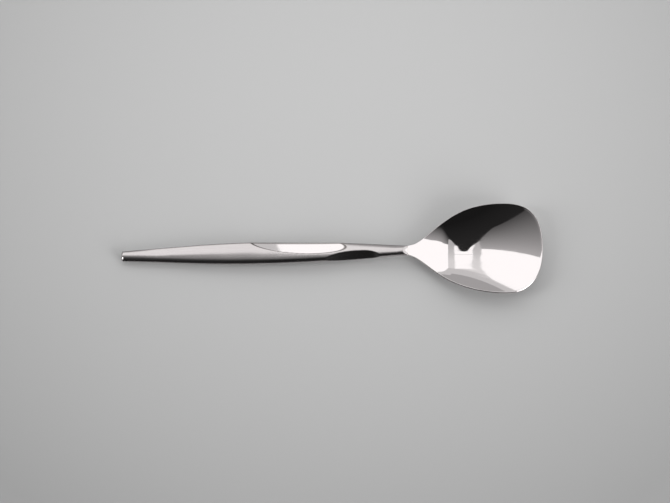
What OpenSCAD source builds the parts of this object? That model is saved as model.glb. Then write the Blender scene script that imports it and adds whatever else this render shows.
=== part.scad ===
// Sugar spoon: a straight satin handle with two whittled facets, and a polished bowl.
// The bowl's root ends in a round tang that is brazed into the neck of the handle.
// Millimetres. +X runs from the tail to the bowl's tip, +Z is up, and the spoon lies on z = 0.

/* [Handle] */
// Length of the handle, from its tail to the joint with the bowl
handle_length = 95.2; // [80:0.1:120]
// Rise of the handle from its tail to its neck, in degrees
handle_pitch = 1.8; // [1.4:0.1:3]
// Distance from the tail to the widest section
body_at = 45; // [35:0.5:55]
// Width of the handle at its tail
tail_width = 3.4; // [2.6:0.1:5]
// Thickness of the handle at its tail
tail_thickness = 2.6; // [2.2:0.1:3.4]
// Width of the widest section
body_width = 7.4; // [6:0.1:10]
// Thickness of the widest section
body_thickness = 4; // [3.4:0.1:5]
// Squareness of the widest section, where 2 is an ellipse
body_squareness = 2.6; // [2:0.1:3.2]
// Height of the side arrises above the axis, as a share of half the thickness
side_edge = 0.55; // [0.35:0.05:0.65]
// Width of the neck at the joint
neck_width = 3.2; // [3:0.1:4.5]
// Thickness of the neck at the joint
neck_thickness = 3; // [2.8:0.1:4]
// Rounding of the tail's end
tail_round = 0.5; // [0.2:0.1:0.8]
// Depth of the flat that is ground under the tail, where it rests
rest_depth = 0.1; // [0.06:0.01:0.2]

/* [Thumb facet] */
// Distance from the tail to the middle of the facet's scoop
thumb_facet_at = 64; // [58:0.5:70]
// Tilt of the facet to the +Y side, in degrees
thumb_facet_tilt = 17; // [12:1:25]
// How far the facet's edge passes the middle of the handle
thumb_facet_reach = 0.85; // [0.4:0.05:1.2]
// Radius of the scoop along the handle
thumb_facet_radius = 200; // [150:5:300]

/* [Neck facet] */
// Distance from the tail to the middle of the facet's scoop
neck_facet_at = 81; // [76:0.5:84]
// Tilt of the facet to the -Y side, in degrees
neck_facet_tilt = 32; // [24:1:40]
// How far the facet's edge passes the middle of the handle
neck_facet_reach = 0.2; // [0:0.05:0.6]
// Radius of the scoop's run-in, from the body
neck_facet_back_radius = 48; // [40:1:80]
// Radius of the scoop's run-out, to the neck
neck_facet_front_radius = 15; // [10:1:30]

/* [Bowl] */
// Length of the bowl, from the joint to its tip
bowl_length = 44.8; // [38:0.1:55]
// Width of the bowl
bowl_width = 30.5; // [26:0.1:38]
// Distance from the joint to the widest section
widest_at = 32; // [28:0.1:35]
// Distance from the joint to the deepest point
deepest_at = 15.5; // [14:0.1:17.5]
// Height of the rim above the table beside the deepest point
rim_height = 5.5; // [5:0.1:6.5]
// Length over which the cross curve of the hollow opens to the front
curve_fade = 22; // [18:0.5:26]
// Height of the tip above the table
tip_height = 4.6; // [4:0.1:6]
// Distance from the joint at which the root's straight ramp runs out into the hollow
root_run = 13; // [11:0.1:14]
// Length over which the ramp rounds into the hollow
root_blend = 0.8; // [0.5:0.1:1.5]
// Angle between the root's edge and the middle line, in degrees
root_flare = 12; // [8:0.5:20]
// Wall in the middle of the bowl
bowl_wall = 1.1; // [0.9:0.05:1.5]
// Wall at the rim
rim_wall = 0.8; // [0.6:0.05:0.9]
// Rounding of the rim's upper edge
rim_round = 0.35; // [0.2:0.05:0.5]
// Length of the thickened heel under the root
heel_length = 14; // [8:0.5:18]

/* [Joint] */
// Height of the root's upper face above the neck's axis
root_level = 0.65; // [0.5:0.05:0.8]
// Radius of the scoop that leads from the neck down into the bowl
scarf_radius = 5.5; // [4:0.5:8]
// Diameter of the tang
tang_diameter = 1.4; // [1:0.1:1.6]
// Length of the tang in the neck
tang_length = 10; // [6:0.5:14]
// Thickness of the brazing film around the tang and on the joint face
braze_film = 0.06; // [0.04:0.01:0.1]

/* [Hidden] */
$fn = 96;
// Points around a section of the handle, and sections along it
section_points = 44;
section_count = 56;
// Points along each half of the bowl's outline, and rings of its skin
outline_points = 40;
skin_rings = 11;
// How far a cut or a join runs past the face that it meets
over = 1;

// Where things lie: the joint is a plane across X, and the box is centred on the origin
spoon_length = handle_length * cos(handle_pitch) + bowl_length;
tail_x = -spoon_length / 2;
joint_x = tail_x + handle_length * cos(handle_pitch);
tail_z = tail_thickness / 2 - rest_depth;
joint_z = tail_z + handle_length * sin(handle_pitch);

// Middle line of the hollow: a shallow curve up to the tip, and a straight ramp down from the root
root_top = joint_z + root_level;
tip_lift = (tip_height - bowl_wall) / pow(bowl_length - deepest_at, 2);
ramp_slope = (root_top - bowl_wall - tip_lift * pow(deepest_at, 2)) / ramp(0);
root_fall = atan(2 * tip_lift * deepest_at + ramp_slope);

// The arrises soften and sink towards the neck
neck_edge = side_edge * 0.6;

// Half outline of the bowl: root to widest section, then on to the tip
root_share = (1 - pow(root_level / (neck_thickness / 2), 2)) / (1 - pow(neck_edge, 2));
root_half = neck_width / 2 * sqrt(root_share);
flank_run = widest_at * 0.217;
flank_curve = [
    [0, root_half],
    [flank_run, root_half + flank_run * tan(root_flare)],
    [widest_at * 0.37, bowl_width / 2],
    [widest_at, bowl_width / 2]
];
front_run = bowl_length - widest_at;
front_curve = [
    [widest_at, bowl_width / 2],
    [widest_at + front_run * 0.78, bowl_width / 2],
    [bowl_length, bowl_width * 0.223],
    [bowl_length, 0]
];
half_outline = concat(
    [for (i = [0 : outline_points / 2]) bezier(flank_curve, i / (outline_points / 2))],
    [for (i = [1 : outline_points / 2]) bezier(front_curve, i / (outline_points / 2))]
);
// Whole outline as one loop: the root's end, the +Y edge to the tip, the -Y edge back
outline = concat(
    [for (i = [-3 : 3]) [0, root_half * i / 4]],
    half_outline,
    [for (i = [len(half_outline) - 2 : -1 : 0]) [half_outline[i][0], -half_outline[i][1]]]
);
// Point that the skin's rings shrink to
pole = [bowl_length * 0.52, 0];

// Cross curve of the hollow, which opens to the tip
curve_turn = curve_fade / 5.5;
side_deep = half_outline_at(deepest_at);
curve_deep = (rim_height - bowl_wall) / pow(side_deep, 2) / opening(deepest_at);

// Tang, and the bore that takes it with its film of braze
tang_z = (root_level - neck_thickness / 2) / 2;
bore_diameter = tang_diameter + 2 * braze_film;

function bezier(p, t) =
    pow(1 - t, 3) * p[0]
    + 3 * pow(1 - t, 2) * t * p[1]
    + 3 * (1 - t) * pow(t, 2) * p[2]
    + pow(t, 3) * p[3];

// Swell of the handle: 0 at its ends and 1 at the widest section
function swell(x) =
    cos(90 * (x < body_at ? 1 - x / body_at : (x - body_at) / (handle_length - body_at)));
function swelled(x, tail, body, neck) =
    let (end = x < body_at ? tail : neck)
    end + (body - end) * swell(x);
function half_width(x) = swelled(x, tail_width, body_width, neck_width) / 2;
function half_thickness(x) = swelled(x, tail_thickness, body_thickness, neck_thickness) / 2;
function squareness(x) = swelled(x, 2, body_squareness, 2);
function edge_share(x) = swelled(x, side_edge, side_edge, neck_edge);

// A section: a crowned upper face between the side arrises, and a round underside
function crown(a, n, edge) = pow(1 - (1 - pow(edge, n)) * pow(cos(a), 2), 1 / n);
function underside(a, n, edge) = edge - (1 + edge) * pow(abs(sin(a)), 2 / n);
function section(x, inset = 0) = [
    for (i = [0 : section_points - 1])
        let (a = 360 * i / section_points, n = squareness(x), edge = edge_share(x))
        [
            x,
            (half_width(x) - inset) * sign(cos(a)) * pow(abs(cos(a)), 2 / n),
            (half_thickness(x) - inset) * (sin(a) < 0 ? underside(a, n, edge) : crown(a, n, edge))
        ]
];

// Height of a ramp of slope 1 that rounds into a level
function ramp(s) = root_blend * ln(1 + exp((root_run - s) / root_blend));
// Heights of the hollow above the table, at a distance from the joint and off the middle line
function floor_height(s) =
    bowl_wall + tip_lift * pow(s - deepest_at, 2) + ramp_slope * ramp(s);
function opening(s) = pow(1 + exp((s - deepest_at) / curve_turn), -curve_turn / curve_fade);
function hollow_height(p) = floor_height(p[0]) + curve_deep * opening(p[0]) * pow(p[1], 2);
function half_outline_at(s) = lookup(s, half_outline);

// Wall under a point of the hollow: thinner to the rim, thicker over the heel
function heel(p) =
    let (
        run = max(0, 1 - p[0] / heel_length),
        side = min(1, abs(p[1]) / max(half_outline_at(p[0]), 0.01))
    )
    (root_level + neck_thickness / 2 - rim_wall) * pow(run, 2) * sqrt(1 - pow(side, 2));
function wall(p, r) = rim_wall + (bowl_wall - rim_wall) * (1 - pow(r, 2)) + heel(p);

// A ring of the skin: the outline shrunk to the pole by a share, or inset by a distance
function shrunk(r) = [for (o = outline) pole + (o - pole) * r];
function edge_round(o) = rim_round * min(1, o[0] / 2);
function upper_ring(r) = [for (p = shrunk(r)) [p[0], p[1], hollow_height(p)]];
function lower_ring(r) = [for (p = shrunk(r)) [p[0], p[1], hollow_height(p) - wall(p, r)]];
function edge_ring(a) = [
    for (o = outline)
        let (
            inset = edge_round(o) * (1 - sin(a)),
            p = o - (o - pole) * inset / norm(o - pole)
        )
        [p[0], p[1], hollow_height(p) - edge_round(o) * (1 - cos(a))]
];

// A closed solid over a list of rings that have the same number of points
module skin(rings) {
    n = len(rings[0]);
    m = len(rings);
    sides = [
        for (j = [0 : m - 2], i = [0 : n - 1])
            let (k = (i + 1) % n)
            each [
                [j * n + i, (j + 1) * n + i, (j + 1) * n + k],
                [j * n + i, (j + 1) * n + k, j * n + k]
            ]
    ];
    first = [for (i = [0 : n - 1]) [m * n, i, (i + 1) % n]];
    last = [for (i = [0 : n - 1]) [m * n + 1, (m - 1) * n + (i + 1) % n, (m - 1) * n + i]];
    middle = [for (ring = [rings[0], rings[m - 1]]) [for (p = ring) 1] * ring / n];
    polyhedron(points = concat([for (ring = rings) each ring], middle), faces = concat(sides, first, last));
}

module on_handle() {
    translate([tail_x, 0, tail_z])
        rotate([0, -handle_pitch, 0])
            children();
}

// A scoop across the handle, tilted to one side, with a radius behind and before its deepest line
module facet_cut(at, tilt, reach, back_radius, front_radius) {
    depth = half_thickness(at) * cos(tilt) - reach * sin(abs(tilt));
    translate([at, 0, 0])
        rotate([-tilt, 0, 0])
            translate([0, 0, depth]) {
                scoop(front_radius);
                if (back_radius > front_radius)
                    intersection() {
                        scoop(back_radius);
                        translate([-handle_length, -2 * body_width, 0])
                            cube([handle_length, 4 * body_width, 2 * body_width]);
                    }
            }
}

module scoop(radius) {
    translate([0, 0, radius])
        rotate([90, 0, 0])
            cylinder(r = radius, h = 4 * body_width, center = true, $fn = 720);
}

// Scoop at the neck's end, tangent to the bowl's root where it meets the joint
module scarf_cut() {
    translate([
        joint_x + scarf_radius * sin(root_fall),
        0,
        root_top + scarf_radius * cos(root_fall)
    ])
        rotate([90, 0, 0])
            cylinder(r = scarf_radius, h = 4 * neck_width, center = true, $fn = 180);
}

module tang_rod(diameter, from, to) {
    translate([from, 0, tang_z])
        rotate([0, 90, 0])
            cylinder(d = diameter, h = to - from, $fn = 48);
}

// Everything on the bowl's side of the joint face
module beyond_joint(x) {
    translate([x, -bowl_width, -bowl_width])
        cube([bowl_length + over, 2 * bowl_width, 2 * bowl_width]);
}

module below_table() {
    translate([tail_x - over, -bowl_width, -bowl_width])
        cube([spoon_length, 2 * bowl_width, bowl_width]);
}

module handle_blank() {
    run = handle_length + over;
    skin(concat(
        [for (a = [90 : -30 : 30]) section(tail_round * (1 - sin(a)), tail_round * (1 - cos(a)))],
        [for (i = [0 : section_count]) section(tail_round + (run - tail_round) * i / section_count)]
    ));
}

module handle() {
    color("#b9b6b2")
        difference() {
            on_handle()
                difference() {
                    handle_blank();
                    facet_cut(
                        thumb_facet_at,
                        thumb_facet_tilt,
                        thumb_facet_reach,
                        thumb_facet_radius,
                        thumb_facet_radius
                    );
                    facet_cut(
                        neck_facet_at,
                        -neck_facet_tilt,
                        neck_facet_reach,
                        neck_facet_back_radius,
                        neck_facet_front_radius
                    );
                    tang_rod(bore_diameter, handle_length - tang_length - braze_film, handle_length + over);
                }
            scarf_cut();
            beyond_joint(joint_x - braze_film);
            below_table();
        }
}

module bowl() {
    color("#dcdcdc")
        union() {
            translate([joint_x, 0, 0])
                skin(concat(
                    [for (j = [1 : skin_rings]) upper_ring(j / (skin_rings + 1))],
                    [for (a = [0 : 30 : 90]) edge_ring(a)],
                    [for (j = [skin_rings + 1 : -1 : 1]) lower_ring(j / (skin_rings + 1))]
                ));
            on_handle()
                tang_rod(tang_diameter, handle_length - tang_length, handle_length + over / 2);
        }
}

// Film on the joint face: the neck's section below the root's upper face
module face_film() {
    translate([joint_x - braze_film, 0, joint_z])
        rotate([90, 0, 90])
            linear_extrude(braze_film)
                intersection() {
                    polygon([for (p = section(handle_length)) [p[1], p[2]]]);
                    translate([-neck_width, root_level - 2 * neck_thickness])
                        square([2 * neck_width, 2 * neck_thickness]);
                }
}

module braze() {
    color("#d8cfae")
        difference() {
            union() {
                difference() {
                    on_handle()
                        tang_rod(bore_diameter, handle_length - tang_length - braze_film, handle_length + over);
                    beyond_joint(joint_x - braze_film);
                }
                face_film();
            }
            on_handle()
                tang_rod(tang_diameter, handle_length - tang_length, handle_length + over);
        }
}

handle();
bowl();
braze();
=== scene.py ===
"""Sugar spoon with a satin spindle handle and a polished bowl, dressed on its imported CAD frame."""

import math
from bisect import bisect_right

import bmesh
import bpy
from bpy.props import FloatProperty, FloatVectorProperty, IntProperty, PointerProperty
from mathutils import Matrix, Vector
from mathutils.geometry import interpolate_bezier


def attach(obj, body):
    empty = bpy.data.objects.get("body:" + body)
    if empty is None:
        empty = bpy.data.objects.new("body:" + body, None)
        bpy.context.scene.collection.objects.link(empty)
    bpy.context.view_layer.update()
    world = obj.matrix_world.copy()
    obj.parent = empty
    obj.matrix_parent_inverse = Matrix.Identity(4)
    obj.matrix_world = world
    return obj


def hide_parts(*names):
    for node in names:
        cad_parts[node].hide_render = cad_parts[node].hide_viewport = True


bl_info = {
    "name": "Sugar spoon",
    "version": (1, 0, 0),
    "blender": (4, 5, 0),
    "location": "3D View > Sidebar > Spoon",
    "description": "Makes a sugar spoon: a satin spindle handle, a polished bowl and the table it lies on",
    "category": "Object",
}

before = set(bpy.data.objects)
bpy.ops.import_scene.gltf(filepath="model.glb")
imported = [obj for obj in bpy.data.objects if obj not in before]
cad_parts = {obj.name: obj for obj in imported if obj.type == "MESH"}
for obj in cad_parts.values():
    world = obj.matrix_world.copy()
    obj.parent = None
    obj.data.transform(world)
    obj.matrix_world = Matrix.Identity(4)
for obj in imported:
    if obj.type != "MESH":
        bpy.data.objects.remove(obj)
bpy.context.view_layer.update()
MM = 0.001
# Points closer than this are one point, and edges that turn by more than this stay sharp
WELD = 0.0005 * MM
SHARP = math.radians(40)
# Length over which a facet's twist is given
TWIST_RUN = 10 * MM
# Kinds of node that are used often, and the settings of a mark on each point
MATH, RANGE, MIX, NOISE = "ShaderNodeMath", "ShaderNodeMapRange", "ShaderNodeMix", "ShaderNodeTexNoise"
STORE = "GeometryNodeStoreNamedAttribute"
ON_POINTS = {"data_type": "FLOAT", "domain": "POINT"}


def hex_colour(code):
    """Turn an sRGB hex colour into linear light."""
    parts = [int(code[i : i + 2], 16) / 255 for i in (1, 3, 5)]
    return [p / 12.92 if p <= 0.04045 else ((p + 0.055) / 1.055) ** 2.4 for p in parts]


def length(name, description, mm):
    """Describe one length, given in millimetres and kept in metres."""
    return FloatProperty(
        name=name, description=description, default=mm * MM, min=0, precision=5, unit="LENGTH"
    )


def angle(name, description, degrees):
    """Describe one angle, given in degrees."""
    return FloatProperty(
        name=name, description=description, default=math.radians(degrees), subtype="ANGLE"
    )


def number(name, description, value, low=0, high=1):
    """Describe one plain number with its limits."""
    return FloatProperty(name=name, description=description, default=value, min=low, max=high)


def colour(name, description, code):
    """Describe one colour, given as an sRGB hex value."""
    return FloatVectorProperty(
        name=name, description=description, default=hex_colour(code), subtype="COLOR", min=0, max=1
    )


class SPOON_PG_handle(bpy.types.PropertyGroup):
    """Sizes of the handle."""

    run: length("Length", "Length of the handle along its axis", 95.2)
    pitch: angle("Pitch", "Rise of the handle from its tail to the bowl", 1.8)
    body_at: length("Body at", "Distance from the tail to the widest section", 45)
    tail_width: length("Tail width", "Width at the tail", 3.4)
    tail_thickness: length("Tail thickness", "Thickness at the tail", 2.6)
    body_width: length("Body width", "Width at the widest section", 7.4)
    body_thickness: length("Body thickness", "Thickness at the widest section", 4)
    squareness: number("Squareness", "2 is an ellipse, more is squarer", 2.6, 2, 5)
    side_edge: number("Side edge", "Height of the side arrises as a share of half the thickness", 0.55)
    neck_edge: number("Neck edge", "Height of the arrises at the neck, as a share of the side edge", 0.6)
    crest_shift: number("Crest shift", "Shift to the near side, as a share of half the width", 0.3, 0, 0.45)
    crest_back: length("Crest fade, tail", "Length over which the crest shifts, from the tail", 12)
    crest_front: length("Crest fade, neck", "Length over which the crest shifts back, to the neck", 4)
    neck_width: length("Neck width", "Width where the handle meets the bowl", 3.2)
    neck_thickness: length("Neck thickness", "Thickness where the handle meets the bowl", 3)
    tail_round: length("Tail round", "Radius of the edge around the tail's end", 0.9)
    tail_slimness: number("Tail slimness", "1 is a plain swell to the body, more is slimmer", 1.25, 1, 3)
    rest_depth: length("Rest depth", "Depth of the flat that the tail rests on", 0.1)
    thumb_at: length("Thumb facet at", "Middle of the polished thumb facet", 64)
    thumb_tilt: angle("Thumb tilt", "Lean of the thumb facet to the far side", 20.5)
    thumb_twist: angle("Thumb twist", "Twist of the thumb facet over 10 mm, more lean to the tail", 2.7)
    thumb_reach: length("Thumb reach", "How far the thumb facet reaches past the crest", 0.85)
    thumb_radius: length("Thumb radius", "Radius of the thumb facet along the handle", 200)
    neck_at: length("Neck facet at", "Deepest line of the satin neck facet", 81)
    neck_tilt: angle("Neck tilt", "Lean of the neck facet to the near side", 32)
    neck_reach: length("Neck reach", "How far the neck facet reaches past the crest", 0.2)
    neck_back: length("Neck back radius", "Radius of the neck facet to the tail", 65)
    neck_front: length("Neck front radius", "Radius of the neck facet to the bowl", 15)


class SPOON_PG_bowl(bpy.types.PropertyGroup):
    """Sizes of the bowl and of the joint at its root."""

    run: length("Length", "Length from the joint to the tip", 44.8)
    width: length("Width", "Width at the widest section", 30.8)
    widest_at: length("Widest at", "Distance from the joint to the widest section", 32)
    deepest_at: length("Deepest at", "Distance from the joint to the deepest point", 15.5)
    rim_height: length("Rim height", "Height of the rim beside the deepest point", 5.5)
    curve_fade: length("Curve fade", "Length over which the cross curve opens to the front", 22)
    tip_height: length("Tip height", "Height of the tip above the table", 4.6)
    root_run: length("Root run", "Distance from the joint at which the root's ramp runs out", 13)
    root_blend: length("Root blend", "Length over which the ramp rounds into the hollow", 0.8)
    nose_lean: length("Nose lean", "How far the tip stands off the middle, to the far side", 1.3)
    root_flare: angle("Root flare", "Angle at which the outline leaves the root", 12)
    wall: length("Wall", "Wall under the deepest point", 1.1)
    rim_wall: length("Rim wall", "Wall at the rim", 0.8)
    rim_near: length("Near rim round", "Width of the rounding on the rim's near side", 0.5)
    rim_far: length("Far rim round", "Width of the rounding on the rim's far side", 0.2)
    heel: length("Heel", "Length of the thickened heel under the root", 14)
    root_level: length("Root level", "Height of the root's face above the neck's axis", 0.65)
    scarf: length("Scarf radius", "Radius of the scoop from the neck into the bowl", 5.5)
    arrow: length("Arrow", "How far the bowl's polish runs into the scoop", 1.1)
    tang_diameter: length("Tang diameter", "Diameter of the tang in the neck", 1.4)
    tang_length: length("Tang length", "Length of the tang in the neck", 10)
    tang_round: length("Tang round", "Rounding of the edges of the tang's ends", 0.15)
    film: length("Braze film", "Thickness of the brazing film", 0.06)


class SPOON_PG_finish(bpy.types.PropertyGroup):
    """Colours and finishes of the metals."""

    polish: colour("Polished steel", "Colour of the mirror-polished steel", "#DCD7D7")
    satin: colour("Satin steel", "Colour of the ground satin steel", "#C6C1C1")
    satin_shade: colour("Satin steel, dull", "Colour of the duller grinding lines", "#B6B1B1")
    # Painted shade: the dark colour painted along the arrises beside the polished facet and along the far
    # edge
    painted_arris_shade: colour("Arris line", "Colour of the dull line along the polished facet", "#6E6A68")
    braze: colour("Brazing alloy", "Colour of the pale silver brazing alloy", "#D6D1C6")
    polish_roughness: number("Polish roughness", "Roughness of the polished steel", 0.045)
    satin_roughness: number("Satin roughness", "Roughness of the satin steel", 0.14)
    line_spacing: length("Grinding lines", "Spacing of the grinding lines, drawn coarse", 0.35)


class SPOON_PG_stage(bpy.types.PropertyGroup):
    """Table, studio panels and camera."""

    # Painted pool of light: the table's colour is painted lighter under the lamps and darker away from them
    floor: colour("Table", "Colour of the table under the lamps", "#C6C6C6")
    floor_shade: colour("Table, darker", "Colour of the table away from the lamps", "#A6A6A6")
    panel_height: length("Panel height", "Height of the panels over the table", 600)
    panel_level: number("Panel level", "Brightness of the lit panels", 1.4, 0, 10)
    fill_level: number("Fill level", "Brightness of the fill cards beside the camera", 6, 0, 10)
    ambient: number("Ambient", "Level of the room's light", 0.05)
    aim: FloatVectorProperty(
        name="Camera aim",
        description="Place that the camera looks at",
        default=(1.054 * MM, -0.132 * MM, 5 * MM),
        subtype="TRANSLATION",
        precision=5,
    )
    distance: length("Camera distance", "Distance from the camera to the spoon", 620)
    elevation: angle("Camera elevation", "Angle of the view above the table", 75)
    roll: angle("Camera roll", "Roll of the camera", -0.767)
    image_width: IntProperty(name="Image width", description="Picture's width in pixels", default=670)
    pixel_density: number("Pixels per mm", "Scale of the picture at the spoon", 3.025, 0.1, 100)


def add_node(tree, kind, settings=None, inputs=None):
    """Add one node with its settings, and fill its inputs with links or with constants."""
    node = tree.nodes.new(kind)
    for name, value in (settings or {}).items():
        setattr(node, name, value)
    pairs = inputs.items() if isinstance(inputs, dict) else enumerate(inputs or ())
    for key, value in pairs:
        if isinstance(value, bpy.types.Node):
            value = value.outputs[0]
        if isinstance(value, bpy.types.NodeSocket):
            tree.links.new(value, node.inputs[key])
        elif value is not None:
            node.inputs[key].default_value = value
    return node


def new_material(name):
    """Make an empty metal and give its tree, its shader and its Object coordinates."""
    material = bpy.data.materials.new(name)
    material.use_nodes = True
    tree = material.node_tree
    tree.nodes.clear()
    shader = add_node(tree, "ShaderNodeBsdfPrincipled", {}, {"Metallic": 1})
    add_node(tree, "ShaderNodeOutputMaterial", {}, {"Surface": shader})
    place = add_node(tree, "ShaderNodeTexCoord").outputs["Object"]
    return material, tree, shader, place


def new_object(name, mesh):
    """Put a mesh in the scene, at the origin."""
    piece = bpy.data.objects.new(name, mesh)
    bpy.context.scene.collection.objects.link(piece)
    return piece


def keep_piece(piece, node):
    """Let a finished piece stand for its CAD node and ride on the spoon's one body."""
    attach(piece, "root")
    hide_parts(node)


def ramp(bowl, s):
    """Height of a ramp of slope 1 that rounds into a level, at a distance from the joint."""
    return bowl.root_blend * math.log1p(math.exp((bowl.root_run - s) / bowl.root_blend))


class Layout:
    """Places that the handle and the bowl share, worked out from their sizes."""

    def __init__(self, scene):
        handle, bowl = scene.spoon_handle, scene.spoon_bowl
        reach = handle.run * math.cos(handle.pitch)
        self.tail_x = -(reach + bowl.run) / 2
        self.tail_z = handle.tail_thickness / 2 - handle.rest_depth
        self.joint_x = self.tail_x + reach
        self.joint_z = self.tail_z + handle.run * math.sin(handle.pitch)
        self.root_top = self.joint_z + bowl.root_level
        self.neck_edge = handle.side_edge * handle.neck_edge
        self.tip_lift = (bowl.tip_height - bowl.wall) / (bowl.run - bowl.deepest_at) ** 2
        drop = self.root_top - bowl.wall - self.tip_lift * bowl.deepest_at**2
        self.ramp_slope = drop / ramp(bowl, 0)
        self.root_fall = math.atan(2 * self.tip_lift * bowl.deepest_at + self.ramp_slope)
        self.tang_z = (bowl.root_level - handle.neck_thickness / 2) / 2


# Mirror-polished stainless steel: buffed on soft wheels, so it mirrors the room almost clearly.
# The wheels leave a faint haze in patches and a slow waviness that bends straight reflections a little.
def polished_steel(finish):
    material, tree, shader, place = new_material("Mirror-polished stainless steel")
    patches = {"Vector": place, "Scale": 1 / (7 * MM), "Detail": 3, "Roughness": 0.6}
    haze = add_node(tree, NOISE, {}, patches)
    # Wiping marks about 0.1 mm wide, drawn 0.5 mm wide so that they show
    stretch = add_node(tree, "ShaderNodeMapping", {}, {"Vector": place, "Scale": (0.08, 1, 1)})
    wipes = add_node(tree, NOISE, {}, {"Vector": stretch, "Scale": 1 / (0.5 * MM), "Detail": 2})
    both = add_node(tree, MATH, {"operation": "MULTIPLY"}, (haze, wipes))
    clear, hazy = finish.polish_roughness * 0.6, finish.polish_roughness * 1.6
    rough = add_node(tree, RANGE, {}, (both, 0.15, 0.4, clear, hazy))
    wave = add_node(tree, NOISE, {}, {"Vector": place, "Scale": 1 / (9 * MM), "Detail": 0})
    bump = add_node(tree, "ShaderNodeBump", {}, {"Strength": 1, "Distance": 0.012 * MM, "Height": wave})
    shader.inputs["Base Color"].default_value = (*finish.polish, 1)
    tree.links.new(rough.outputs[0], shader.inputs["Roughness"])
    tree.links.new(bump.outputs[0], shader.inputs["Normal"])
    return material


# Satin stainless steel: ground along the handle with a fine belt, so it blurs the room across the handle.
# The belt leaves fine lines along the handle. The faces marked "polished" were buffed after it.
def satin_steel(finish):
    material, tree, shader, place = new_material("Lengthwise-ground satin stainless steel")
    buffed = add_node(tree, "ShaderNodeAttribute", {"attribute_name": "polished"}).outputs["Fac"]
    # Painted shade: a dark line is painted along the arrises beside the polished facet and along the far
    # edge, standing in for the shade on their rounded edges
    painted_arris_shade = add_node(tree, "ShaderNodeAttribute", {"attribute_name": "painted_arris_shade"}).outputs["Fac"]
    # Belt lines are about 0.05 mm apart, too fine to show, so they are drawn coarser
    stretch = add_node(tree, "ShaderNodeMapping", {}, {"Vector": place, "Scale": (0.02, 1, 1)})
    belt = {"Vector": stretch, "Scale": 1 / finish.line_spacing, "Detail": 4, "Roughness": 0.7}
    lines = add_node(tree, NOISE, {}, belt)
    # The painted arris shade is mixed in over the grinding lines, and the polish goes over both
    tint = (*finish.satin_shade, 1)
    for share, metal in ((lines, finish.satin), (painted_arris_shade, finish.painted_arris_shade), (buffed, finish.polish)):
        tint = add_node(tree, MIX, {"data_type": "RGBA"}, {0: share, 6: tint, 7: (*metal, 1)}).outputs[2]

    # Roughness changes in patches and streaks, and is low where the steel is buffed
    patches = add_node(tree, NOISE, {}, {"Vector": place, "Scale": 1 / (14 * MM), "Detail": 2})
    fine, dull = finish.satin_roughness * 0.92, finish.satin_roughness * 1.08
    patchy = add_node(tree, RANGE, {}, (patches, 0.3, 0.7, fine, dull))
    streaky = add_node(tree, MATH, {"operation": "MULTIPLY_ADD"}, (lines, 0.08, patchy))
    rough = add_node(tree, RANGE, {}, (buffed, 0, 1, streaky, finish.polish_roughness))

    # Hand finishing eases the arrises, but not of buffed faces, and leaves slow waves along the handle
    eased = add_node(tree, "ShaderNodeBevel", {"samples": 8}, {"Radius": 0.35 * MM})
    plain = add_node(tree, "ShaderNodeNewGeometry").outputs["Normal"]
    crisp = add_node(tree, MIX, {"data_type": "VECTOR"}, {0: buffed, 4: eased, 5: plain}).outputs[1]
    wave = add_node(tree, NOISE, {}, {"Vector": place, "Scale": 1 / (20 * MM), "Detail": 1})
    slow = {"Strength": 1, "Distance": 0.35 * MM, "Height": wave, "Normal": crisp}
    waved = add_node(tree, "ShaderNodeBump", {}, slow)
    depth = add_node(tree, RANGE, {}, (buffed, 0, 1, 0.35, 0.01))
    ground = {"Strength": depth, "Distance": 0.02 * MM, "Height": lines, "Normal": waved}
    bump = add_node(tree, "ShaderNodeBump", {}, ground)
    tree.links.new(tint, shader.inputs["Base Color"])
    tree.links.new(rough.outputs[0], shader.inputs["Roughness"])
    tree.links.new(bump.outputs[0], shader.inputs["Normal"])
    return material


# Silver brazing alloy: melted into the joint and dressed flush, so it is a pale, slightly yellow line.
def brazing_alloy(finish):
    material, tree, shader, place = new_material("Silver brazing alloy, dressed flush")
    grain = add_node(tree, NOISE, {}, {"Vector": place, "Scale": 1 / (0.4 * MM), "Detail": 3})
    rough = add_node(tree, RANGE, {}, (grain, 0.3, 0.7, 0.1, 0.2))
    shader.inputs["Base Color"].default_value = (*finish.braze, 1)
    tree.links.new(rough.outputs[0], shader.inputs["Roughness"])
    return material


def half_thickness(handle, x):
    """Half the handle's thickness at a distance from its tail."""
    before = x < handle.body_at
    away = 1 - x / handle.body_at if before else (x - handle.body_at) / (handle.run - handle.body_at)
    end = handle.tail_thickness if before else handle.neck_thickness
    swell = math.cos(math.pi / 2 * away) ** (handle.tail_slimness if before else 1)
    return (end + (handle.body_thickness - end) * swell) / 2


def facet_level(handle, at, tilt, reach):
    """Distance from the handle's axis to a facet at its deepest line."""
    return half_thickness(handle, at) * math.cos(tilt) - reach * math.sin(tilt)


def arc_height(tree, radius, off):
    """Nodes for the height of an arc over its centre, at an offset along its chord."""
    squares = [add_node(tree, MATH, {"operation": "POWER"}, (side, 2)) for side in (radius, off)]
    drop = add_node(tree, MATH, {"operation": "SUBTRACT"}, squares)
    sunk = add_node(tree, MATH, {"operation": "MAXIMUM"}, (drop, 0))
    return add_node(tree, MATH, {"operation": "SQRT"}, (sunk,))


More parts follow.
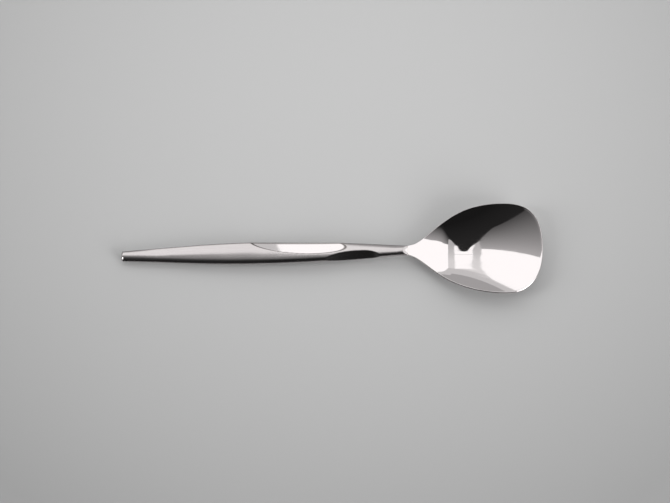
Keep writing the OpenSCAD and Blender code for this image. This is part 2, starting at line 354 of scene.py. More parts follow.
def spindle_swell(tree, size, x):
    """Nodes that say which half of the spindle it is, how full it is, and half its width and thickness."""
    to_tail = add_node(tree, RANGE, {"clamp": False}, (x, 0, size["Body at"], 1, 0))
    to_neck = add_node(tree, RANGE, {"clamp": False}, (x, size["Body at"], size["Length"], 0, 1))
    away = add_node(tree, MATH, {"operation": "MAXIMUM"}, (to_tail, to_neck))
    quarter = add_node(tree, MATH, {"operation": "MULTIPLY"}, (away, math.pi / 2))
    bulge = add_node(tree, MATH, {"operation": "COSINE"}, (quarter,))
    front = add_node(tree, MATH, {"operation": "GREATER_THAN"}, (x, size["Body at"]))
    slimness = add_node(tree, RANGE, {}, (front, 0, 1, size["Tail slimness"], 1))
    swell = add_node(tree, MATH, {"operation": "POWER"}, (bulge, slimness))

    # The edge around the tail's end is a quarter round
    round_share = add_node(tree, RANGE, {}, (x, 0, size["Tail round"], 1, 0))
    round_in = add_node(tree, MATH, {"operation": "SUBTRACT"}, (1, arc_height(tree, 1, round_share)))
    inset = add_node(tree, MATH, {"operation": "MULTIPLY"}, (round_in, size["Tail round"]))
    halves = []
    for side in ("width", "thickness"):
        end = add_node(tree, RANGE, {}, (front, 0, 1, size["Tail " + side], size["Neck " + side]))
        full = add_node(tree, RANGE, {}, (swell, 0, 1, end, size["Body " + side]))
        half = add_node(tree, MATH, {"operation": "MULTIPLY"}, (full, 0.5))
        halves.append(add_node(tree, MATH, {"operation": "SUBTRACT"}, (half, inset)))
    return front, swell, halves


def crest_shift(tree, size, x):
    """Nodes for the shift of the crest to the near side, which fades out at the tail and at the neck."""
    fade_at = add_node(tree, MATH, {"operation": "SUBTRACT"}, (size["Length"], size["Crest fade, neck"]))
    to_front = add_node(tree, RANGE, {}, (x, fade_at, size["Length"], size["Crest shift"], 0))
    to_back = add_node(tree, RANGE, {}, (x, 0, size["Crest fade, tail"], 0, size["Crest shift"]))
    return add_node(tree, MATH, {"operation": "MINIMUM"}, (to_front, to_back))


def spindle_section(tree, size, x, front, swell, rays):
    """Nodes for a section's outline, as shares of half its width and of half its thickness."""
    corners = add_node(tree, RANGE, {}, (swell, 0, 1, 2, size["Squareness"]))
    power = add_node(tree, MATH, {"operation": "DIVIDE"}, (2, corners))
    edge_end = add_node(tree, RANGE, {}, (front, 0, 1, size["Side edge"], size["Neck edge"]))
    edge = add_node(tree, RANGE, {}, (swell, 0, 1, edge_end, size["Side edge"]))
    shares = []
    for ray in rays:
        plain = add_node(tree, MATH, {"operation": "ABSOLUTE"}, (ray,))
        shares.append(add_node(tree, MATH, {"operation": "POWER"}, (plain, power)))
    signed = add_node(tree, MATH, {"operation": "SIGN"}, (rays[0],))
    sideways = add_node(tree, MATH, {"operation": "MULTIPLY"}, (shares[0], signed))

    # The upper face is crowned between the side arrises, with its crest off the middle
    edge_power = add_node(tree, MATH, {"operation": "POWER"}, (edge, corners))
    fall = add_node(tree, MATH, {"operation": "SUBTRACT"}, (1, edge_power))
    inward = add_node(tree, MATH, {"operation": "POWER"}, (sideways, 2))
    middle = add_node(tree, MATH, {"operation": "SUBTRACT"}, (1, inward))
    shift = crest_shift(tree, size, x)
    off_crest = add_node(tree, MATH, {"operation": "MULTIPLY_ADD"}, (shift, middle, sideways))
    from_crest = add_node(tree, MATH, {"operation": "ABSOLUTE"}, (off_crest,))
    crest_power = add_node(tree, MATH, {"operation": "POWER"}, (from_crest, corners))
    fallen = add_node(tree, MATH, {"operation": "MULTIPLY"}, (fall, crest_power))
    left = add_node(tree, MATH, {"operation": "SUBTRACT"}, (1, fallen))
    root = add_node(tree, MATH, {"operation": "DIVIDE"}, (1, corners))
    crown = add_node(tree, MATH, {"operation": "POWER"}, (left, root))

    # The underside hangs in a round from the side arrises
    deep = add_node(tree, MATH, {"operation": "ADD"}, (1, edge))
    hung = add_node(tree, MATH, {"operation": "MULTIPLY"}, (deep, shares[1]))
    underside = add_node(tree, MATH, {"operation": "SUBTRACT"}, (edge, hung))
    below = add_node(tree, MATH, {"operation": "LESS_THAN"}, (rays[1], 0))
    return sideways, add_node(tree, RANGE, {}, (below, 0, 1, crown, underside))


def press_facet(tree, size, facet, x, section):
    """Nodes that press the points over a facet's curve back onto it, and say how far each one moves."""
    off = add_node(tree, MATH, {"operation": "SUBTRACT"}, (x, size[facet + " at"]))
    ahead = add_node(tree, MATH, {"operation": "GREATER_THAN"}, (off, 0))
    radii = (size[facet + " back radius"], size[facet + " front radius"])
    radius = add_node(tree, RANGE, {}, (ahead, 0, 1, *radii))
    rise = add_node(tree, MATH, {"operation": "SUBTRACT"}, (radius, arc_height(tree, radius, off)))
    level = add_node(tree, MATH, {"operation": "ADD"}, (rise, size[facet + " level"]))
    twist = add_node(tree, MATH, {"operation": "MULTIPLY"}, (off, size[facet + " twist"]))
    tilt = add_node(tree, MATH, {"operation": "ADD"}, (twist, size[facet + " tilt"]))
    lean = add_node(tree, MATH, {"operation": "SINE"}, (tilt,))
    stand = add_node(tree, MATH, {"operation": "COSINE"}, (tilt,))
    lower = add_node(tree, MATH, {"operation": "MULTIPLY"}, (section[1], stand))
    height = add_node(tree, MATH, {"operation": "MULTIPLY_ADD"}, (section[0], lean, lower))
    over = add_node(tree, MATH, {"operation": "SUBTRACT"}, (height, level))
    press = add_node(tree, MATH, {"operation": "MAXIMUM"}, (over, 0))
    back = add_node(tree, MATH, {"operation": "MULTIPLY"}, (press, -1))
    pressed = []
    for way, place in zip((lean, stand), section):
        pressed.append(add_node(tree, MATH, {"operation": "MULTIPLY_ADD"}, (back, way, place)))
    return pressed, press


def mark_facet(tree, mesh, sideways, press):
    """Nodes that mark the polish of the thumb facet, and the painted shade line around it and along the far
    edge.
    """
    # The polish stops short of the far edge, which gets a painted shade line at half strength along the
    # whole handle
    edge_start, edge_full, far_edge_shade_strength = 0.86, 0.93, 0.5
    far_edge = add_node(tree, RANGE, {}, (sideways, edge_start, edge_full, 0, 1))
    off_edge = add_node(tree, MATH, {"operation": "SUBTRACT"}, (1, far_edge))
    # Depths of the cut at which the line is full, and at which the polish starts and is full
    line_full, polish_start, polish_full = 0.02 * MM, 0.07 * MM, 0.11 * MM
    pressed_in = add_node(tree, RANGE, {}, (press, polish_start, polish_full, 0, 1))
    buffed = add_node(tree, MATH, {"operation": "MULTIPLY"}, (pressed_in, off_edge))
    # Painted shade: a dark line where the facet's cut begins
    line_start = add_node(tree, RANGE, {}, (press, 0, line_full, 0, 1))
    facet_line = add_node(tree, MATH, {"operation": "SUBTRACT"}, (line_start, pressed_in))
    painted_far_edge_shade = add_node(tree, MATH, {"operation": "MULTIPLY"}, (far_edge, far_edge_shade_strength))
    line = add_node(tree, MATH, {"operation": "MAXIMUM"}, (facet_line, painted_far_edge_shade))
    for name, mark in (("polished", buffed), ("painted_arris_shade", line)):
        mesh = add_node(tree, STORE, ON_POINTS, {"Geometry": mesh, "Name": name, "Value": mark})
    return mesh


def cut_handle(tree, size, mesh):
    """Nodes that cut the pitched handle by the scoop at its neck, by the joint's plane and by the table."""
    spot = add_node(tree, "ShaderNodeSeparateXYZ", {}, (add_node(tree, "GeometryNodeInputPosition"),))
    x, y, z = spot.outputs
    off = add_node(tree, MATH, {"operation": "SUBTRACT"}, (x, size["Scarf x"]))
    sag = arc_height(tree, size["Scarf radius"], off)
    limit = add_node(tree, MATH, {"operation": "SUBTRACT"}, (size["Scarf z"], sag))

    # The bowl's polish runs into the scoop in the shape of an arrow's head, with soft edges
    arrow_edge, scoop_edge = 0.1 * MM, 0.02 * MM
    arrow_tip = add_node(tree, MATH, {"operation": "SUBTRACT"}, (size["End x"], size["Arrow"]))
    past_tip = add_node(tree, MATH, {"operation": "SUBTRACT"}, (x, arrow_tip))
    aside = add_node(tree, MATH, {"operation": "ABSOLUTE"}, (y,))
    within = add_node(tree, MATH, {"operation": "SUBTRACT"}, (past_tip, aside))
    in_arrow = add_node(tree, RANGE, {}, (within, 0, arrow_edge, 0, 1))
    over = add_node(tree, MATH, {"operation": "SUBTRACT"}, (z, limit))
    in_scoop = add_node(tree, RANGE, {}, (over, 0, scoop_edge, 0, 1))
    scooped = add_node(tree, MATH, {"operation": "MINIMUM"}, (in_arrow, in_scoop))
    thumb = add_node(tree, "GeometryNodeInputNamedAttribute", {"data_type": "FLOAT"}, {"Name": "polished"})
    either = add_node(tree, MATH, {"operation": "MAXIMUM"}, (scooped, thumb))
    marked = add_node(tree, STORE, ON_POINTS, {"Geometry": mesh, "Name": "polished", "Value": either})

    cut = add_node(tree, MATH, {"operation": "MINIMUM"}, (z, limit))
    rested = add_node(tree, MATH, {"operation": "MAXIMUM"}, (cut, 0))
    faced = add_node(tree, MATH, {"operation": "MINIMUM"}, (x, size["End x"]))
    place = add_node(tree, "ShaderNodeCombineXYZ", {}, (faced, y, rested))
    return add_node(tree, "GeometryNodeSetPosition", {}, {"Geometry": marked, "Position": place})


def spindle_tree(sizes, material):
    """Geometry Nodes that bend a grid into the spindle, and cut its facets, scoop and bore."""
    tree = bpy.data.node_groups.new("Spindle handle", "GeometryNodeTree")
    tree.interface.new_socket("Geometry", in_out="OUTPUT", socket_type="NodeSocketGeometry")
    for name in sizes:
        tree.interface.new_socket(name, in_out="INPUT", socket_type="NodeSocketFloat")
    size = add_node(tree, "NodeGroupInput").outputs

    # A grid whose rows run from the tail's end to the bore's floor, and whose columns go around.
    # Both are counted from -0.5 to 0.5, and at four rows one stretch ends and the next starts.
    rows, columns = 470, 200
    disc_end, neck_end, face_end, bore_end = -0.475, 0.465, 0.475, 0.49
    grid = add_node(tree, "GeometryNodeMeshGrid", {}, (1, 1, rows, columns))
    spot = add_node(tree, "ShaderNodeSeparateXYZ", {}, (add_node(tree, "GeometryNodeInputPosition"),))
    row, column = spot.outputs[0], spot.outputs[1]
    tail_disc = add_node(tree, RANGE, {}, (row, -0.5, disc_end, 0, 1))
    along = add_node(tree, RANGE, {}, (row, disc_end, neck_end, 0, 1))
    end_face = add_node(tree, RANGE, {}, (row, neck_end, face_end, 0, 1))
    bore = add_node(tree, RANGE, {}, (row, face_end, bore_end, 0, 1))
    bore_floor = add_node(tree, RANGE, {}, (row, bore_end, 0.5, 1, 0))
    turn = add_node(tree, RANGE, {}, (column, -0.5, 0.5, 0, 2 * math.pi))
    rays = [add_node(tree, MATH, {"operation": wave}, (turn,)) for wave in ("COSINE", "SINE")]

    # Rows stand closer at the tail, whose edge is round
    crowding = 1.5
    spaced = add_node(tree, MATH, {"operation": "POWER"}, (along, crowding))
    x = add_node(tree, MATH, {"operation": "MULTIPLY"}, (spaced, size["Length"]))
    front, swell, halves = spindle_swell(tree, size, x)
    shares = spindle_section(tree, size, x, front, swell, rays)
    section = []
    for half, share in zip(halves, shares):
        shrunk = add_node(tree, MATH, {"operation": "MULTIPLY"}, (share, tail_disc))
        section.append(add_node(tree, MATH, {"operation": "MULTIPLY"}, (shrunk, half)))
    section, thumb_press = press_facet(tree, size, "Thumb", x, section)
    section, _ = press_facet(tree, size, "Neck facet", x, section)

    # The end face closes to the bore, which runs back into the neck and ends in a flat floor
    radius = add_node(tree, MATH, {"operation": "MULTIPLY"}, (size["Bore"], bore_floor))
    closed = []
    for ray, centre, place in zip(rays, (0, size["Tang level"]), section):
        hole = add_node(tree, MATH, {"operation": "MULTIPLY_ADD"}, (ray, radius, centre))
        closed.append(add_node(tree, RANGE, {}, (end_face, 0, 1, place, hole)))
    depth = add_node(tree, MATH, {"operation": "MULTIPLY"}, (bore, size["Bore depth"]))
    lengthwise = add_node(tree, MATH, {"operation": "SUBTRACT"}, (x, depth))
    local = add_node(tree, "ShaderNodeCombineXYZ", {}, (lengthwise, *closed))
    flat = {"Geometry": grid, "Name": "UVMap", "Value": grid.outputs["UV Map"]}
    mapped = add_node(tree, STORE, {"data_type": "FLOAT2", "domain": "CORNER"}, flat)
    marked = mark_facet(tree, mapped, shares[0], thumb_press)
    shaped = add_node(tree, "GeometryNodeSetPosition", {}, {"Geometry": marked, "Position": local})

    # The handle takes its pitch and its place, and is cut
    minus = add_node(tree, MATH, {"operation": "MULTIPLY"}, (size["Pitch"], -1))
    turned = add_node(tree, "ShaderNodeCombineXYZ", {}, (0, minus, 0))
    moved = add_node(tree, "ShaderNodeCombineXYZ", {}, (size["Tail x"], 0, size["Tail z"]))
    lie = {"Geometry": shaped, "Translation": moved, "Rotation": turned}
    cut = cut_handle(tree, size, add_node(tree, "GeometryNodeTransform", {}, lie))

    # Seam and poles are closed, faces turn outward, and sharp edges stay sharp
    merged = add_node(tree, "GeometryNodeMergeByDistance", {}, {"Geometry": cut, "Distance": WELD})
    outward = add_node(tree, "GeometryNodeFlipFaces", {}, {"Mesh": merged})
    bend = add_node(tree, "GeometryNodeInputMeshEdgeAngle")
    sharp = add_node(tree, MATH, {"operation": "GREATER_THAN"}, (bend, SHARP))
    smooth = {"Geometry": outward, "Shade Smooth": True}
    soft = add_node(tree, "GeometryNodeSetShadeSmooth", {"domain": "FACE"}, smooth)
    crisp = {"Geometry": soft, "Selection": sharp, "Shade Smooth": False}
    edged = add_node(tree, "GeometryNodeSetShadeSmooth", {"domain": "EDGE"}, crisp)
    real = add_node(tree, "GeometryNodeRealizeInstances", {}, {"Geometry": edged})
    dressed = add_node(tree, "GeometryNodeSetMaterial", {}, {"Geometry": real, "Material": material})
    add_node(tree, "NodeGroupOutput", {}, {"Geometry": dressed})
    return tree


class SPOON_OT_handle(bpy.types.Operator):
    """Make the satin spindle handle with its polished thumb facet and its neck facet"""

    bl_idname = "spoon.make_handle"
    bl_label = "Make Handle"

    def execute(self, context):
        scene = context.scene
        handle, bowl, at = scene.spoon_handle, scene.spoon_bowl, Layout(scene)
        sizes = {
            "Length": handle.run,
            "Pitch": handle.pitch,
            "Body at": handle.body_at,
            "Tail width": handle.tail_width,
            "Tail thickness": handle.tail_thickness,
            "Body width": handle.body_width,
            "Body thickness": handle.body_thickness,
            "Squareness": handle.squareness,
            "Side edge": handle.side_edge,
            "Neck edge": at.neck_edge,
            "Crest shift": handle.crest_shift,
            "Crest fade, tail": handle.crest_back,
            "Crest fade, neck": handle.crest_front,
            "Neck width": handle.neck_width,
            "Neck thickness": handle.neck_thickness,
            "Tail round": handle.tail_round,
            "Tail slimness": handle.tail_slimness,
            "Thumb at": handle.thumb_at,
            "Thumb tilt": handle.thumb_tilt,
            "Thumb twist": -handle.thumb_twist / TWIST_RUN,
            "Thumb level": facet_level(handle, handle.thumb_at, handle.thumb_tilt, handle.thumb_reach),
            "Thumb back radius": handle.thumb_radius,
            "Thumb front radius": handle.thumb_radius,
            "Neck facet at": handle.neck_at,
            "Neck facet tilt": -handle.neck_tilt,
            "Neck facet twist": 0,
            "Neck facet level": facet_level(handle, handle.neck_at, handle.neck_tilt, handle.neck_reach),
            "Neck facet back radius": handle.neck_back,
            "Neck facet front radius": handle.neck_front,
            "Scarf radius": bowl.scarf,
            "Arrow": bowl.arrow,
            "Scarf x": at.joint_x + bowl.scarf * math.sin(at.root_fall),
            "Scarf z": at.root_top + bowl.scarf * math.cos(at.root_fall),
            "Bore": bowl.tang_diameter / 2 + bowl.film,
            "Bore depth": bowl.tang_length + bowl.film,
            "Tang level": at.tang_z,
            "Tail x": at.tail_x,
            "Tail z": at.tail_z,
            "End x": at.joint_x - bowl.film,
        }
        piece = new_object("spindle_handle", bpy.data.meshes.new("spindle_handle"))
        tree = spindle_tree(sizes, satin_steel(scene.spoon_finish))
        shape = piece.modifiers.new("Spindle", "NODES")
        shape.node_group = tree
        for item in tree.interface.items_tree:
            if item.in_out == "INPUT":
                shape[item.identifier] = sizes[item.name]
        graph = context.evaluated_depsgraph_get()
        mesh = bpy.data.meshes.new_from_object(piece.evaluated_get(graph))
        if not mesh.polygons:
            raise RuntimeError("the handle's nodes made no faces")
        piece.modifiers.clear()
        piece.data = mesh
        mesh.name = "spindle_handle"
        keep_piece(piece, "handle")
        return {"FINISHED"}


class Bowl:
    """The bowl's surfaces as heights over the distance from the joint and the offset to a side."""

    # Handles of the outline's curves, as shares of the flank's run, the nose's run and the width
    FLANK_START, FLANK_END, NOSE_START, NOSE_END = 0.217, 0.37, 0.8, 0.26
    FLANK_POINTS, NOSE_POINTS, ROOT_STEPS = 150, 120, 6
    # The cross curve starts to open over this share of its fade
    FADE_START = 1 / 5.5
    # Rings close at this share of the bowl's run, and the last few leave room for the rim's rounding
    POLE_SHARE, RINGS, RIM_ROOM, RIM_RINGS = 0.52, 70, 2, 8
    # The rounding drops by this share of its width, and grows from nothing over this length at the root
    RIM_DROP, RIM_START = 1.1, 2 * MM
    # The outline counts as at least this wide where it closes at the tip
    LEAST_HALF_WIDTH = 0.01 * MM

    def __init__(self, scene):
        handle, self.sizes, self.at = scene.spoon_handle, scene.spoon_bowl, Layout(scene)
        sizes = self.sizes
        half, front = sizes.width / 2, sizes.run - sizes.widest_at
        level = sizes.root_level / (handle.neck_thickness / 2)
        self.root_half = handle.neck_width / 2 * math.sqrt((1 - level**2) / (1 - self.at.neck_edge**2))
        self.root_depth = sizes.root_level + handle.neck_thickness / 2 - sizes.rim_wall
        step = sizes.widest_at * self.FLANK_START
        flank = interpolate_bezier(
            Vector((0, self.root_half)),
            Vector((step, self.root_half + step * math.tan(sizes.root_flare))),
            Vector((sizes.widest_at * self.FLANK_END, half)),
            Vector((sizes.widest_at, half)),
            self.FLANK_POINTS,
        )
        nose = interpolate_bezier(
            Vector((sizes.widest_at, half)),
            Vector((sizes.widest_at + front * self.NOSE_START, half)),
            Vector((sizes.run, sizes.width * self.NOSE_END)),
            Vector((sizes.run, 0)),
            self.NOSE_POINTS,
        )
        self.edge = [tuple(p) for p in flank + nose[1:]]
        self.stations = [p[0] for p in self.edge]
        self.turn = sizes.curve_fade * self.FADE_START
        depth, side = sizes.rim_height - sizes.wall, self.half_width(sizes.deepest_at)
        self.curve = depth / side**2 / self.opening(sizes.deepest_at)

    def half_width(self, s):
        """Half the bowl's width at a distance from the joint."""
        i = min(max(bisect_right(self.stations, s), 1), len(self.edge) - 1)
        (s0, w0), (s1, w1) = self.edge[i - 1], self.edge[i]
        return w0 + (w1 - w0) * (s - s0) / (s1 - s0) if s1 > s0 else w1

    def opening(self, s):
        """How far the cross curve has opened towards the tip, from 1 down."""
        sizes = self.sizes
        return (1 + math.exp((s - sizes.deepest_at) / self.turn)) ** (-self.turn / sizes.curve_fade)

    def hollow(self, s, y):
        """Height of the hollow's face."""
        sizes = self.sizes
        middle = sizes.wall + self.at.tip_lift * (s - sizes.deepest_at) ** 2
        middle += self.at.ramp_slope * ramp(sizes, s)
        return middle + self.curve * self.opening(s) * y**2

    def under(self, s, y, r):
        """Height of the outer face, under a point that is a share r of the way to the rim."""
        sizes = self.sizes
        side = min(1, abs(y) / max(self.half_width(s), self.LEAST_HALF_WIDTH))
        heel = self.root_depth * max(0, 1 - s / sizes.heel) ** 2 * math.sqrt(1 - side**2)
        wall = sizes.rim_wall + (sizes.wall - sizes.rim_wall) * (1 - r**2) + heel
        return self.hollow(s, y) - wall

    def outline(self):
        """Points around the rim, from the root along the far side, with a nose that leans to that side."""
        sizes = self.sizes
        steps = self.ROOT_STEPS
        root = [(0, self.root_half * i / steps) for i in range(1 - steps, steps)]
        plain = root + self.edge + [(s, -y) for s, y in self.edge[-2::-1]]
        front = sizes.run - sizes.widest_at
        return [(s, y + sizes.nose_lean * max(0, (s - sizes.widest_at) / front) ** 2) for s, y in plain]

    def rim_ring(self, outline, pole, out):
        """One ring of the rim's rounding, a share out of the way from its inner to its outer edge."""
        sizes = self.sizes
        ring = []
        for s, y in outline:
            near = 0.5 - y / sizes.width
            bevel = sizes.rim_far + (sizes.rim_near - sizes.rim_far) * near
            bevel *= min(1, s / self.RIM_START)
            shrink = 1 - bevel * (1 - out) / math.hypot(s - pole, y)
            p, q = pole + (s - pole) * shrink, y * shrink
            ring.append((p, q, self.hollow(p, q) - self.RIM_DROP * bevel * out**2))
        return ring

    def rings(self):
        """Rings of points from the middle of the hollow, over the rim, to the middle underneath."""
        outline = self.outline()
        pole = self.sizes.run * self.POLE_SHARE
        inner, outer = [], []
        for i in range(1, self.RINGS - self.RIM_ROOM):
            r = i / self.RINGS
            ring = [(pole + (s - pole) * r, y * r) for s, y in outline]
            inner.append([(s, y, self.hollow(s, y)) for s, y in ring])
            outer.append([(s, y, self.under(s, y, r)) for s, y in ring])
        rim = [self.rim_ring(outline, pole, i / self.RIM_RINGS) for i in range(self.RIM_RINGS + 1)]
        rim.append([(s, y, self.under(s, y, 1)) for s, y in outline])
        top, bottom = [(pole, 0, self.hollow(pole, 0))], [(pole, 0, self.under(pole, 0, 0))]
        return [top, *inner, *rim, *outer[::-1], bottom]


class SPOON_OT_bowl(bpy.types.Operator):
    """Make the polished bowl with its rounded rim, its heel and its tang"""

    bl_idname = "spoon.make_bowl"
    bl_label = "Make Bowl"

    def execute(self, context):
        scene = context.scene
        bowl, at = scene.spoon_bowl, Layout(scene)
        rings = Bowl(scene).rings()
        shell = bmesh.new()
        rows = [[shell.verts.new((at.joint_x + s, y, z)) for s, y, z in ring] for ring in rings]
        for upper, lower in zip(rows, rows[1:]):
            count = max(len(upper), len(lower))
            for i in range(count):
                j = (i + 1) % count
                if len(upper) == 1:
                    shell.faces.new((upper[0], lower[i], lower[j]))
                elif len(lower) == 1:
                    shell.faces.new((upper[i], lower[0], upper[j]))
                else:
                    shell.faces.new((upper[i], lower[i], lower[j], upper[j]))
        # The rim's rounding runs out at the root, where its rings meet
        bmesh.ops.remove_doubles(shell, verts=shell.verts, dist=WELD)
        # The tang stands out of the root's face, in line with the handle
        pitch = Matrix.Rotation(-scene.spoon_handle.pitch, 4, "Y")
        lie = Matrix.Rotation(math.pi / 2, 4, "Y")
        joint = Vector((at.joint_x, 0, at.joint_z))
        middle = joint + pitch @ Vector((-bowl.tang_length / 2, 0, at.tang_z))
        tang = bmesh.ops.create_cone(
            shell,
            cap_ends=True,
            segments=48,
            radius1=bowl.tang_diameter / 2,
            radius2=bowl.tang_diameter / 2,
            depth=bowl.tang_length,
            matrix=Matrix.Translation(middle) @ pitch @ lie,
        )
        edges = [e for e in shell.edges if e.verts[0] in tang["verts"] and len(e.link_faces) == 2]
        ends = [e for e in edges if any(len(f.verts) > 4 for f in e.link_faces)]
        bmesh.ops.bevel(shell, geom=ends, offset=bowl.tang_round, segments=3, affect="EDGES", profile=0.5)
        bmesh.ops.recalc_face_normals(shell, faces=shell.faces)
        for edge in shell.edges:
            edge.smooth = len(edge.link_faces) == 2 and edge.calc_face_angle() < SHARP
        for face in shell.faces:
            face.smooth = True
        mesh = bpy.data.meshes.new("polished_bowl")
        shell.to_mesh(mesh)
        shell.free()
        mesh.materials.append(polished_steel(scene.spoon_finish))
        piece = new_object("polished_bowl", mesh)
        keep_piece(piece, "bowl")
        return {"FINISHED"}


class SPOON_OT_braze(bpy.types.Operator):
    """Give the brazed seam between the handle and the bowl its alloy"""

    bl_idname = "spoon.dress_braze"
    bl_label = "Dress Braze"

    def execute(self, context):
        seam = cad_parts["braze"]
        seam.data.materials.clear()
        seam.data.materials.append(brazing_alloy(context.scene.spoon_finish))
        return {"FINISHED"}


def stage_sheet(name, corners, material, shown=False):
    """Make one flat sheet of the stage from its corners in millimetres."""
    mesh = bpy.data.meshes.new(name)
    mesh.from_pydata([(x * MM, y * MM, z * MM) for x, y, z in corners], [], [range(len(corners))])
    mesh.materials.append(material)
    sheet = new_object(name, mesh)
    sheet.visible_camera = shown


def stage_material(name):
    """Make an empty material for the stage and give its tree and its output."""
    material = bpy.data.materials.new(name)
    material.use_nodes = True
    tree = material.node_tree
    tree.nodes.clear()
    return material, tree, add_node(tree, "ShaderNodeOutputMaterial")


def lit_sheet(name, level, far_level=None, start=None, end=None):
    """Make a lit cloth or card of one level, or one whose level changes from one place to another."""
    material, tree, output = stage_material(name)
    glow = add_node(tree, "ShaderNodeEmission", {}, {"Strength": level})
    if far_level is not None:
        way = Vector(end) - Vector(start)
        place = add_node(tree, "ShaderNodeTexCoord").outputs["Object"]
        along = {"operation": "DOT_PRODUCT"}
        share = add_node(tree, "ShaderNodeVectorMath", along, (place, way / way.length)).outputs["Value"]
        first = Vector(start).dot(way) / way.length * MM
        fade = add_node(tree, RANGE, {}, (share, first, first + way.length * MM, level, far_level))
        tree.links.new(fade.outputs[0], glow.inputs["Strength"])
    tree.links.new(glow.outputs[0], output.inputs["Surface"])
    return material


# Matt table: a pale grey laminate with a painted pool of light: its colour is painted lightest under the
# lamps and darker towards its corners and near edge.
def matt_table(stage):
    material, tree, output = stage_material("Matt pale grey laminate")
    place = add_node(tree, "ShaderNodeTexCoord").outputs["Object"]
    # Painted light: the colour falls from the table's colour at this centre to the darker shade at the
    # spread
    painted_light_centre, spread = (0, 45 * MM, 0), 160 * MM
    away = add_node(tree, "ShaderNodeVectorMath", {"operation": "DISTANCE"}, (place, painted_light_centre))
    square = add_node(tree, MATH, {"operation": "POWER"}, (away.outputs["Value"], 2))
    fall = add_node(tree, RANGE, {}, (square, 0, spread**2, 0, 1))
    shades = {0: fall, 6: (*stage.floor, 1), 7: (*stage.floor_shade, 1)}
    tint = add_node(tree, MIX, {"data_type": "RGBA"}, shades)
    matt = add_node(tree, "ShaderNodeBsdfDiffuse", {}, {"Color": tint.outputs[2]})
    tree.links.new(matt.outputs[0], output.inputs["Surface"])
    return material


def hang_studio(stage):
    """Hang the cloths, the cards and the tent over the table, from corners in plan in millimetres."""
    lit = lit_sheet("Lit softbox cloth", stage.panel_level)
    dark = lit_sheet("Dark opening", 0.024, far_level=0.012, start=(0, -100, 0), end=(0, -600, 0))
    far_room = lit_sheet("Dark room behind the camera", 0.06)
    west_grey = lit_sheet("Grey card, west", 0.05, far_level=0.53, start=(-100, -125, 0), end=(50, 65, 0))
    east_grey = lit_sheet("Grey card, east", 0.02, far_level=0.45, start=(-15, -15, 0), end=(150, 130, 0))
    fill = lit_sheet("Lit fill card", stage.fill_level)
    roof = lit_sheet("Tent roof", 0.6, far_level=0.92, start=(0, -40, 0), end=(0, 420, 0))
    back_roof = lit_sheet("Tent roof, back", 0.74)
    wall = lit_sheet("Tent back wall", 0.48)

    # Lit cloths hang over the table, with narrow gaps between them
    west = [(10, 100), (10, 200), (30, 420), (80, 720), (155, 1085)]
    west += [(-2000, 1085), (-2000, 450), (-140, 245), (-45, 150)]
    middle = [(32, 218), (90, 218), (110, 470), (165, 880), (95, 715), (40, 330)]
    middle_end = [(32, 10), (32, 209), (90, 209), (90, -20)]
    east = [(185, -50), (310, -75), (440, -165), (560, -340), (1600, -340), (2200, 3200), (1500, 3200)]
    east += [(860, 1820), (285, 850), (285, 775), (245, 580), (205, 310), (185, 100)]
    # The camera looks in through a dark opening, with grey cards beside it that fade into the dark
    opening = [(55, 140), (65, 120), (75, 10), (100, -80), (145, -185), (230, -320), (515, -690)]
    opening += [(720, -1050), (-640, -1050), (-400, -620), (-250, -195), (0, -195), (45, -200)]
    opening += [(30, -50), (40, 50), (45, 130)]
    room = [(-640, -1050), (720, -1050), (1500, -2700), (-1500, -2700)]
    west_card = [(10, 100), (20, 20), (30, -50), (45, -230), (-300, -230), (-300, 300), (-140, 260)]
    east_card = [(183, 0), (183, -185), (130, -185), (700, -1200), (700, -60)]
    # Two fill cards to the sides of the opening soften the shadows
    west_fill = [(-500, -150), (-3000, -900), (-3000, 100), (-500, 60)]
    east_fill = [(640, -330), (640, -780), (1500, -2700), (3000, -2700), (3000, -330)]
    # The tent's roof shows in the gaps, and its back and its wall are duller
    near_roof = [(0, 98), (20, -60), (183, -190), (300, -60), (1000, 860), (0, 860)]
    bend = [(310, 1480), (455, 1930), (890, 2280), (1500, 3200)]
    far_roof = [(-3000, 860), (700, 860), *bend[::-1], (-3000, 1480)]
    slope = [(-3000, 1480), *bend, (2200, 6000), (-3000, 6000)]

    # Sheets that overlap in plan hang a little higher or lower than the cloths
    sheets = {
        "softbox_west": (west, 0, lit),
        "softbox_middle": (middle, 0, lit),
        "softbox_middle_end": (middle_end, 0, lit),
        "softbox_east": (east, 0, lit),
        "dark_opening": (opening, -2, dark),
        "dark_room": (room, -2, far_room),
        "grey_card_west": (west_card, 2, west_grey),
        "grey_card_east": (east_card, 2, east_grey),
        "fill_card_west": (west_fill, 1, fill),
        "fill_card_east": (east_fill, 1, fill),
        "tent_roof": (near_roof, 4, roof),
        "tent_roof_back": (far_roof, 4, back_roof),
        "tent_slope": (slope, 4, wall),
    }
    top = stage.panel_height / MM
    for name, (corners, lift, material) in sheets.items():
        stage_sheet(name, [(x, y, top + lift) for x, y in corners], material)
    left, right, behind = -3000, 1250, 2990
    corners = [(left, behind, 0), (right, behind, 0), (right, behind, top), (left, behind, top)]
    stage_sheet("tent_wall", corners, wall)


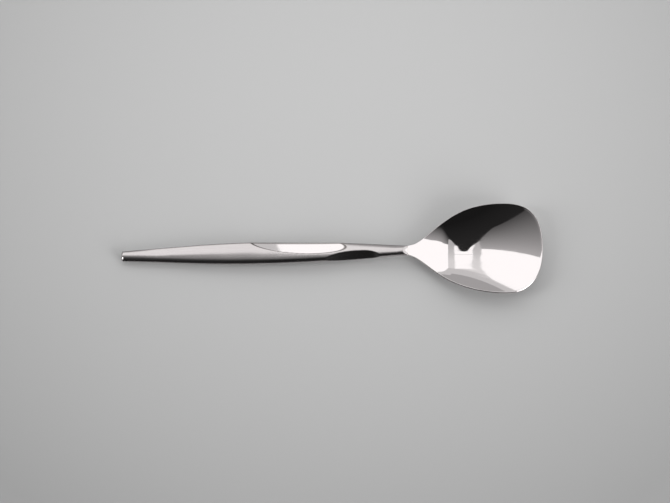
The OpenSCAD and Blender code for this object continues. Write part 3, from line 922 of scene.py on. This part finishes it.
class SPOON_OT_stage(bpy.types.Operator):
    """Set the table, the studio panels and the camera"""

    bl_idname = "spoon.set_stage"
    bl_label = "Set Stage"

    def execute(self, context):
        scene = context.scene
        stage = scene.spoon_stage
        # The table lies a hair under the spoon, so that their faces don't coincide
        far, under = 3000, -0.02
        table = [(-far, -far, under), (far, -far, under), (far, far, under), (-far, far, under)]
        stage_sheet("table", table, matt_table(stage), shown=True)
        hang_studio(stage)

        world = bpy.data.worlds.new("Room")
        world.use_nodes = True
        background = world.node_tree.nodes["Background"].inputs
        background["Color"].default_value = (1, 1, 1, 1)
        background["Strength"].default_value = stage.ambient
        scene.world = world
        scene.view_settings.view_transform = "Standard"

        # The camera looks along the table's +Y, from above
        lens = bpy.data.cameras.new("Camera")
        lens.sensor_width = 36
        lens.lens = lens.sensor_width * stage.pixel_density * stage.distance / MM / stage.image_width
        lens.clip_start = 10 * MM
        camera = bpy.data.objects.new("Camera", lens)
        scene.collection.objects.link(camera)
        back = Vector((0, -math.cos(stage.elevation), math.sin(stage.elevation)))
        tip = Matrix.Rotation(math.pi / 2 - stage.elevation, 4, "X")
        turn = tip @ Matrix.Rotation(stage.roll, 4, "Z")
        camera.matrix_world = Matrix.Translation(stage.aim + back * stage.distance) @ turn
        scene.camera = camera
        return {"FINISHED"}


class SPOON_PT_parts(bpy.types.Panel):
    """Sidebar panel with the spoon's sizes, finishes and pieces"""

    bl_label = "Sugar Spoon"
    bl_idname = "SPOON_PT_parts"
    bl_space_type = "VIEW_3D"
    bl_region_type = "UI"
    bl_category = "Spoon"

    def draw(self, context):
        scene = context.scene
        for title, group in GROUPS.items():
            box = self.layout.box()
            box.label(text=title)
            sizes = getattr(scene, "spoon_" + title.lower())
            for name in group.__annotations__:
                box.prop(sizes, name)
        for operator in OPERATORS:
            self.layout.operator(operator.bl_idname)


GROUPS = {
    "Handle": SPOON_PG_handle,
    "Bowl": SPOON_PG_bowl,
    "Finish": SPOON_PG_finish,
    "Stage": SPOON_PG_stage,
}
OPERATORS = (SPOON_OT_stage, SPOON_OT_handle, SPOON_OT_bowl, SPOON_OT_braze)


def register():
    """Give Blender the spoon's sizes, operators and panel."""
    for title, group in GROUPS.items():
        bpy.utils.register_class(group)
        setattr(bpy.types.Scene, "spoon_" + title.lower(), PointerProperty(type=group))
    for operator in OPERATORS:
        bpy.utils.register_class(operator)
    bpy.utils.register_class(SPOON_PT_parts)


def unregister():
    """Take the panel, the operators and the sizes away again."""
    bpy.utils.unregister_class(SPOON_PT_parts)
    for operator in reversed(OPERATORS):
        bpy.utils.unregister_class(operator)
    for title, group in GROUPS.items():
        delattr(bpy.types.Scene, "spoon_" + title.lower())
        bpy.utils.unregister_class(group)


def main():
    """Set the stage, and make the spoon's pieces."""
    register()
    bpy.ops.spoon.set_stage()
    bpy.ops.spoon.make_handle()
    bpy.ops.spoon.make_bowl()
    bpy.ops.spoon.dress_braze()


if __name__ == "__main__":
    main()
